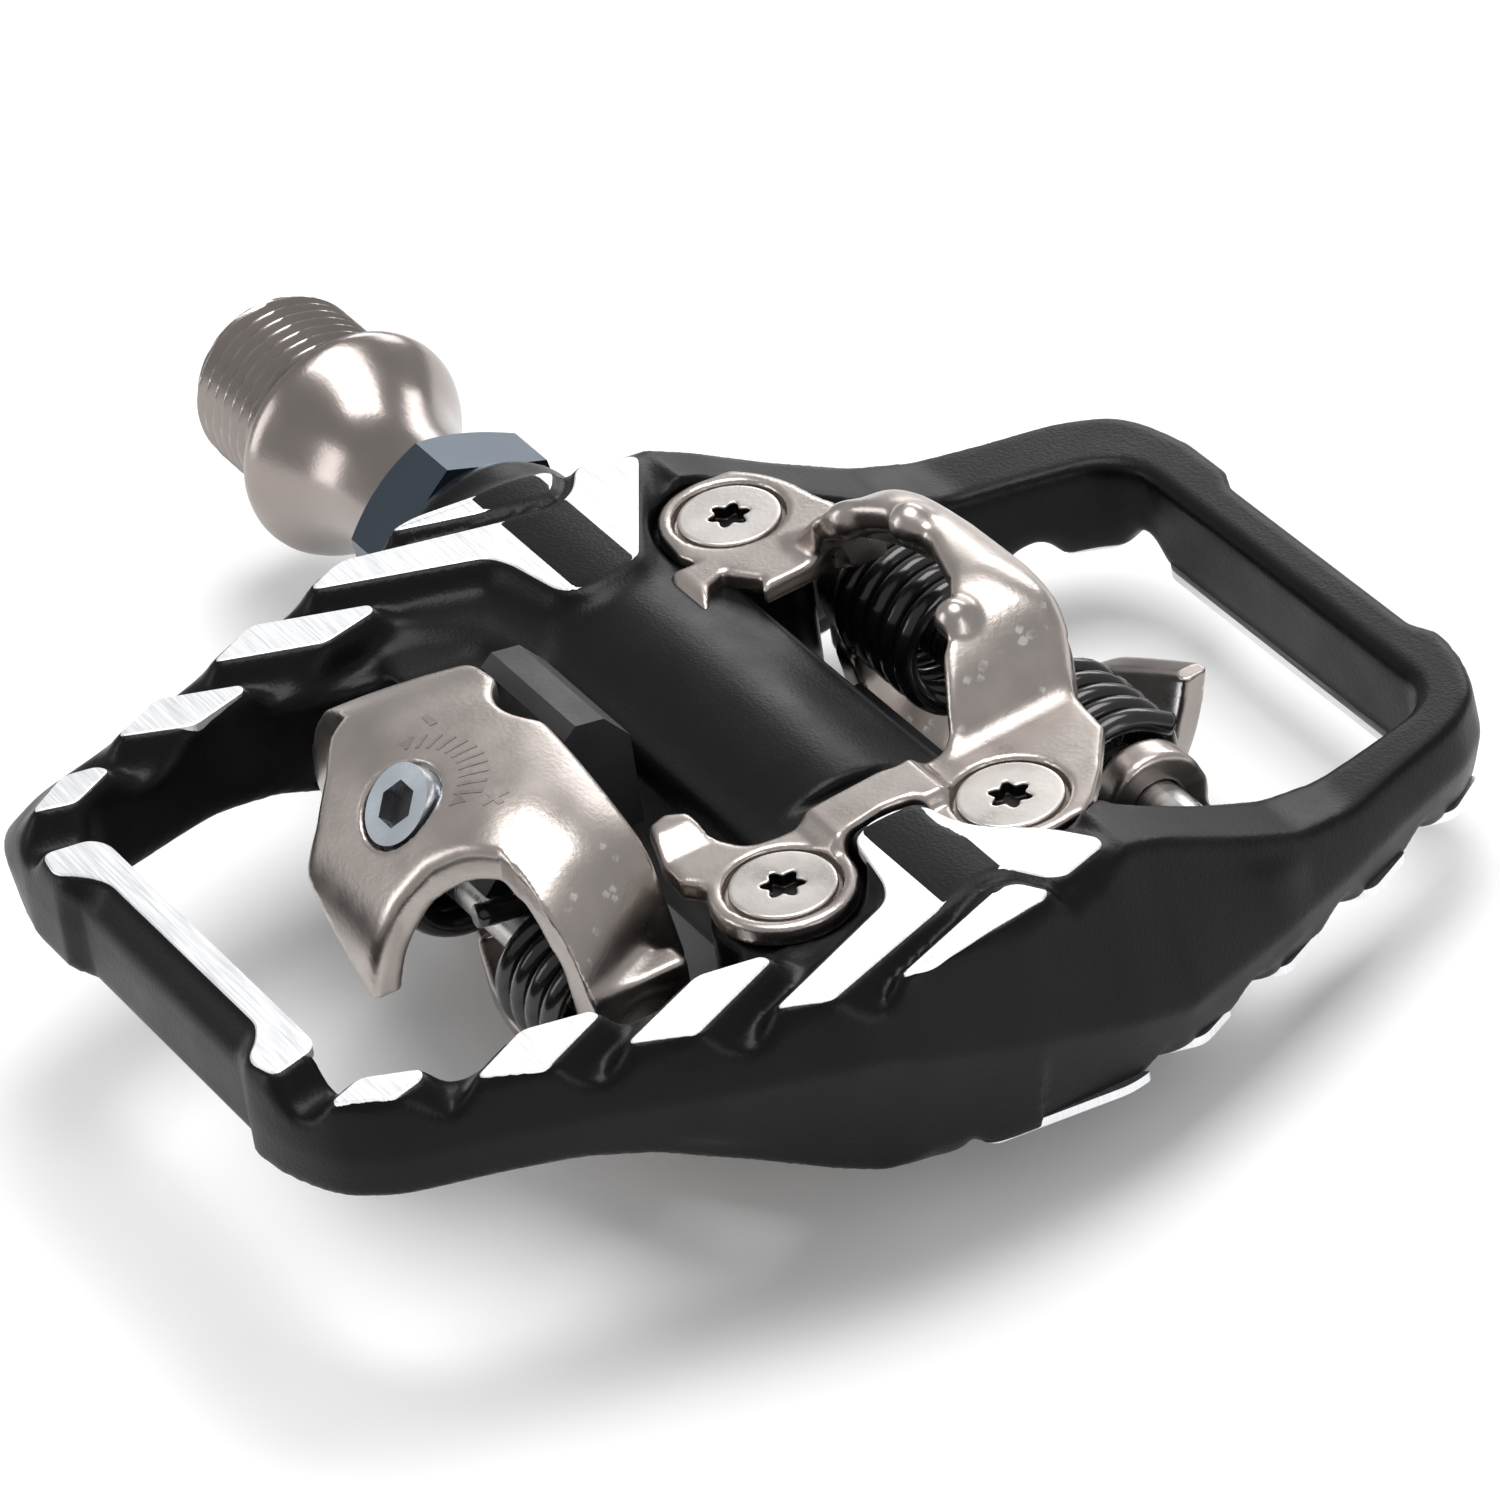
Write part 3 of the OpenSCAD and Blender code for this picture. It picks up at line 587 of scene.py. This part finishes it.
def axle_mesh():
    n = 144
    pitch, rt = 1.27, 7.12
    prof = []
    # hex socket is cut in the first rings: inner floor, wall, mouth
    xs = np.arange(-12.0, -0.7, pitch / 12)
    for x in xs:
        prof.append((x, rt))
    neck = [(-0.55, 6.5), (-0.15, 6.5), (0.0, 7.4), (0.0, 8.8), (0.15, 9.02), (0.5, 9.1), (1.0, 9.04), (1.8, 8.7),
            (2.8, 8.12), (3.8, 7.5), (4.8, 6.95), (5.8, 6.5), (7.0, 6.12), (8.4, 5.86), (10, 5.72),
            (12, 5.7), (20.3, 5.7), (20.9, 4.6), (26, 4.6), (48, 4.6), (69.5, 4.6), (70.1, 3.0), (84.7, 3.0), (85.2, 2.6)]

    def thread(x, t):
        if x > -0.7:
            return 0.0
        ph = (x / pitch + t / (2 * math.pi)) % 1.0
        tri = abs(ph - 0.5) * 2
        depth = 0.62 * (1 - min(1.0, max(0.0, (tri - 0.12) / 0.8)))
        start = min(1.0, max(0.0, (x + 12.0) / 1.3))
        end = min(1.0, max(0.0, (-0.9 - x) / 0.8))
        return -depth * end - (1 - start) * 0.75 - (1 - end) * 0.3

    v, f = lathe(prof + neck, n, None, "a", twist=thread)
    m = len(prof) + len(neck)
    # outer end cap
    v.append((85.2 * MM, 0, 0))
    c = len(v) - 1
    for k in range(n):
        f.append(((m - 1) * n + k, (m - 1) * n + (k + 1) % n, c))
    # thread end: chamfer in, hex socket down to its floor
    base = len(v)

    def hexr(t, af):
        q = (t + math.pi / 6) % (math.pi / 3) - math.pi / 6
        return af / 2 / math.cos(q)
    rings = [(-12.0, lambda t: 5.6), (-12.0, lambda t: hexr(t, 8.5)), (-11.6, lambda t: hexr(t, 8.0)),
             (-4.2, lambda t: hexr(t, 8.0)), (-4.0, lambda t: hexr(t, 6.4))]
    for x, fr in rings:
        for k in range(n):
            t = 2 * math.pi * k / n
            v.append((x * MM, fr(t) * math.cos(t) * MM, fr(t) * math.sin(t) * MM))
    v.append((-3.4 * MM, 0, 0))
    for k in range(n):
        j = (k + 1) % n
        f.append((k, base + k, base + j, j))
        for q in range(len(rings) - 1):
            f.append((base + q * n + k, base + (q + 1) * n + k, base + (q + 1) * n + j, base + q * n + j))
        f.append((base + (len(rings) - 1) * n + k, len(v) - 1, base + (len(rings) - 1) * n + j))
    ob = to_object("axle_spindle", v, f, M["axle"])
    bm = bmesh.new()
    bm.from_mesh(ob.data)
    bmesh.ops.recalc_face_normals(bm, faces=bm.faces)
    bm.to_mesh(ob.data)
    bm.free()
    return ob


axle = axle_mesh()
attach(axle, "axle")
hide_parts("axle")
mod = axle.modifiers.new("split", "EDGE_SPLIT")
mod.split_angle = math.radians(38)


# ------------------------------------------------------------------ springs
def sweep(path, rad, n=12):
    path = np.array(path, float)
    tan = np.gradient(path, axis=0)
    tan /= np.linalg.norm(tan, axis=1)[:, None]
    v, f = [], []
    ref = np.array([1.0, 0, 0])
    nrm = np.cross(tan[0], ref)
    if np.linalg.norm(nrm) < 0.1:
        nrm = np.cross(tan[0], [0, 1.0, 0])
    nrm /= np.linalg.norm(nrm)
    m = len(path)
    for i in range(m):
        nrm = nrm - tan[i] * nrm.dot(tan[i])
        nrm /= np.linalg.norm(nrm)
        bi = np.cross(tan[i], nrm)
        for k in range(n):
            t = 2 * math.pi * k / n
            v.append(tuple(path[i] + rad * (math.cos(t) * nrm + math.sin(t) * bi)))
    for i in range(m - 1):
        for k in range(n):
            j = (k + 1) % n
            f.append((i * n + k, i * n + j, (i + 1) * n + j, (i + 1) * n + k))
    f.append(tuple(range(n - 1, -1, -1)))
    f.append(tuple((m - 1) * n + k for k in range(n)))
    return v, f


def springs():
    v, f = [], []
    for s in (1, -1):
        path = []
        x0, turns, pitch, rc = 5.9, 4.6, 1.98, 4.55
        # short leg behind, then the coil, then a short tail
        for q in np.linspace(0, 1, 8)[:-1]:
            path.append((s * x0, -20.5 - 5.2 * (1 - q), 1 + rc + 1.2 * (1 - q)))
        steps = 40
        for i in range(int(turns * steps) + 1):
            t = i / steps
            ang = math.pi / 2 + 2 * math.pi * t
            path.append((s * (x0 + pitch * t), -20.5 + rc * math.cos(ang) * -1, 1 + rc * math.sin(ang)))
        last = path[-1]
        dirv = np.array(path[-1]) - np.array(path[-2])
        dirv /= np.linalg.norm(dirv)
        for q in np.linspace(0, 1, 6)[1:]:
            path.append(tuple(np.array(last) + dirv * 1.6 * q))
        vv, ff = sweep(path, 0.86, 12)
        b = len(v)
        v += [((x + CTR) * MM, y * MM, (z + DZ) * MM) for x, y, z in vv]
        f += [tuple(b + i for i in q) for q in ff]
    return to_object("torsion_springs_upper", v, f, M["spring"])


sp = springs()
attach(sp, "pedal")
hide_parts("spring_top")
sp2 = twin(sp, "torsion_springs_lower")
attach(sp2, "pedal")
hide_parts("spring_bottom")


# ------------------------------------------------------------------- screws
def torx_head(h):
    lo, hi = (-4.2, -4.2, -1.4), (4.2, 4.2, 0.4)
    X, Y, Z = axes(lo, hi, h)
    rr = np.sqrt(X ** 2 + Y ** 2)
    d = smax(rr - 3.78, np.abs(Z + 0.6) - 0.6, 0.22)
    ang = np.arctan2(Y, X)
    star = rr - (1.32 + 0.26 * np.cos(6 * ang))
    d = smax(d, -smax(star, -1.05 - Z, 0.1), 0.1)
    return d, lo


d, lo = torx_head(0.09 * F)
pts, tris, quads = field_mesh(d, lo, 0.09 * F)
hv, hf = [], []
for n_, (ex, ey) in enumerate(EARS):
    t = math.radians((15, 40, 0)[n_])
    rot = np.array([[math.cos(t), -math.sin(t), 0], [math.sin(t), math.cos(t), 0], [0, 0, 1]])
    q = pts @ rot.T + np.array([ex + CTR, ey, 9.02 + DZ])
    b = len(hv)
    hv += [tuple(p * MM) for p in q]
    hf += [tuple(int(i) + b for i in fc) for fc in quads] + [tuple(int(i) + b for i in fc) for fc in tris]
    # shank under the head
    sv, sf = lathe([(3.15, 0.01), (3.15, 1.6), (3.4, 1.78), (6.95, 1.78), (6.95, 0.01)], 24, None, "s")
    b = len(hv)
    hv += [((z / MM + ex + CTR) * MM, (y_ / MM + ey) * MM, x_) for x_, y_, z in sv]
    hf += [tuple(i + b for i in fc) for fc in sf]
screws = to_object("claw_screw_set_upper", hv, hf, M["screw"])
bm = bmesh.new(); bm.from_mesh(screws.data)
bmesh.ops.recalc_face_normals(bm, faces=bm.faces)
bm.to_mesh(screws.data); bm.free()
# painted shade: the faces inside each torx socket take the dark socket material in place of the shade in the recess
screws.data.materials.append(M["socket"])
for pl in screws.data.polygons:
    c = pl.center / MM
    for ex, ey in EARS:
        if math.hypot(c.x - ex - CTR, c.y - ey) < 1.64 and 6.5 < c.z < 9.02 + DZ - 0.22:
            pl.material_index = 1
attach(screws, "pedal")
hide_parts("claw_screws_top")
screws2 = twin(screws, "claw_screw_set_lower")
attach(screws2, "pedal")
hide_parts("claw_screws_bottom")


# -------------------------------------------- CAD nodes that keep their form
def dress(node, mat, bevel=0.0, seg_=2):
    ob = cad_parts[node]
    ob.data.materials.clear()
    ob.data.materials.append(mat)
    if bevel:
        b = ob.modifiers.new("bevel", "BEVEL")
        b.width = bevel * MM
        b.segments = seg_
        b.limit_method = "ANGLE"
        b.angle_limit = math.radians(32)


for side in ("top", "bottom"):
    dress("pivot_pin_" + side, M["bearing"], 0.3)
    dress("tension_screw_" + side, M["zinc"], 0.22)
    dress("tension_nut_" + side, M["zinc"], 0.25)
    dress("guide_block_" + side, M["resin"], 0.8, 3)
# painted shade: the faces inside the hex socket of each tension screw take the dark socket material in place of the
# shade in the recess
for side, sg in (("top", 1), ("bottom", -1)):
    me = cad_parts["tension_screw_" + side].data
    me.materials.append(M["socket"])
    n45 = Vector((0, -sg * math.sqrt(0.5), sg * math.sqrt(0.5)))
    head = Vector((CTR * MM, HEAD_Y * MM * sg, HEAD_Z * MM * sg))
    for pl in me.polygons:
        r = pl.center - head
        along_ = r.dot(n45)
        if (r - n45 * along_).length < 1.5 * MM and abs(along_) < 2.6 * MM:
            if pl.normal.dot(n45) < 0.5 or along_ < 0.2 * MM:
                pl.material_index = 1
dress("lock_cap", M["cap"], 0.25)
dress("seal_ring", M["seal"], 0.2)
dress("cone", M["bearing"], 0.15)
dress("lock_nut", M["bearing"], 0.2)
dress("bearing_sleeve", M["bearing"], 0.2)
dress("balls_inner", M["ball"])
dress("balls_outer", M["ball"])


# ------------------------------------------------------ marks on the hood
def marks():
    """Generic minus, plus, tick fan and arrows as shallow dark inlays on the slope of the hood; their dark colour is
    partly the engraved marks' own cut tone and partly painted shade of the engraved grooves.
    """
    import mathutils.bvhtree as bt
    bmh = bmesh.new()
    bmh.from_mesh(sprung.data)
    tree = bt.BVHTree.FromBMesh(bmh)
    nrm = Vector((0, -math.sin(SLOPE), math.cos(SLOPE)))
    ux = Vector((1, 0, 0))
    uy = nrm.cross(ux)
    cen = Vector((CTR * MM, HEAD_Y * MM, HEAD_Z * MM))
    bm2 = bmesh.new()

    def put(corners):
        """corners are (u, v) mm about the screw, u to the right, v up the hood."""
        top, low = [], []
        for u, v in corners:
            o = cen + ux * (u * MM) + uy * (v * MM) + nrm * (8 * MM)
            hit = tree.ray_cast(o, -nrm)
            p, nn = (hit[0], hit[1]) if hit[0] else (o - nrm * 8 * MM, nrm)
            top.append(bm2.verts.new(p + nn * 0.045 * MM))
            low.append(bm2.verts.new(p - nn * 0.25 * MM))
        n = len(top)
        bm2.faces.new(top)
        bm2.faces.new(list(reversed(low)))
        for i in range(n):
            j = (i + 1) % n
            bm2.faces.new((top[i], low[i], low[j], top[j]))

    def bar(u0, v0, u1, v1, w, parts=3):
        dx, dy = u1 - u0, v1 - v0
        ln = math.hypot(dx, dy)
        px, py = -dy / ln * w / 2, dx / ln * w / 2
        for q in range(parts):
            s0, s1 = q / parts, (q + 1) / parts
            put([(u0 + dx * s0 + px, v0 + dy * s0 + py), (u0 + dx * s0 - px, v0 + dy * s0 - py),
                 (u0 + dx * s1 - px, v0 + dy * s1 - py), (u0 + dx * s1 + px, v0 + dy * s1 + py)])

    for i in range(11):
        t = math.radians(138 - i * 9.6)
        r0, r1 = 4.5, 4.5 + 1.1 + 0.07 * i
        bar(r0 * math.cos(t), r0 * math.sin(t), r1 * math.cos(t), r1 * math.sin(t), 0.26, 2)
    bar(-5.6, 5.2, -4.2, 5.2, 0.38)
    bar(5.1, 4.4, 6.7, 4.4, 0.34)
    bar(5.9, 3.6, 5.9, 5.2, 0.34)
    put([(-4.3, 2.9), (-3.3, 3.2), (-3.9, 3.9)])
    put([(4.0, 2.2), (3.6, 3.2), (4.7, 3.1)])
    bmesh.ops.recalc_face_normals(bm2, faces=bm2.faces)
    me = bpy.data.meshes.new("tension_scale_upper")
    bm2.to_mesh(me)
    bm2.free()
    bmh.free()
    ob = bpy.data.objects.new("tension_scale_upper", me)
    bpy.context.scene.collection.objects.link(ob)
    me.materials.append(M["scale_cut_and_groove_shade"])
    return ob


mk = marks()
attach(mk, "claw_top")
mk2 = twin(mk, "tension_scale_lower")
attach(mk2, "claw_bottom")


# ------------------------------------------------------------ floor, lights
def floor():
    me = bpy.data.meshes.new("floor")
    s = 3.0
    corners = [(-s, -s, FLOOR_Z), (s, -s, FLOOR_Z), (s, s, FLOOR_Z), (-s, s, FLOOR_Z)]
    me.from_pydata(corners, [], [(0, 1, 2, 3)])
    ob = bpy.data.objects.new("floor", me)
    bpy.context.scene.collection.objects.link(ob)
    m = bpy.data.materials.new("floor_pale")
    m.use_nodes = True
    b = m.node_tree.nodes["Principled BSDF"]
    b.inputs["Base Color"].default_value = (0.97, 0.97, 0.97, 1)
    b.inputs["Roughness"].default_value = 0.9
    b.inputs["Specular IOR Level"].default_value = 0.1
    me.materials.append(m)


def area(name, loc, target, size, size_y, power):
    ld = bpy.data.lights.new(name, "AREA")
    ld.shape = "RECTANGLE"
    ld.size, ld.size_y, ld.energy = size, size_y, power
    ob = bpy.data.objects.new(name, ld)
    bpy.context.scene.collection.objects.link(ob)
    ob.location = loc
    dirv = Vector(target) - Vector(loc)
    ob.rotation_euler = dirv.to_track_quat("-Z", "Y").to_euler()


floor()
world = bpy.data.worlds.new("studio")
bpy.context.scene.world = world
world.use_nodes = True
sky = world.node_tree.nodes["Background"]
sky.inputs[0].default_value = (1, 1, 1, 1)
sky.inputs[1].default_value = 0.5
bpy.context.scene.view_settings.view_transform = "Standard"
C = (CTR * MM, 0, 0)
area("key_top", (0.0, 0.12, 0.62), C, 0.4, 0.4, 3.2)
area("rim_back", (-0.45, 0.55, 0.30), C, 0.5, 0.25, 1.6)
area("side_left", (-0.25, -0.60, 0.22), C, 0.25, 0.5, 1.1)
area("side_right", (0.75, 0.15, 0.12), C, 0.15, 0.5, 0.9)
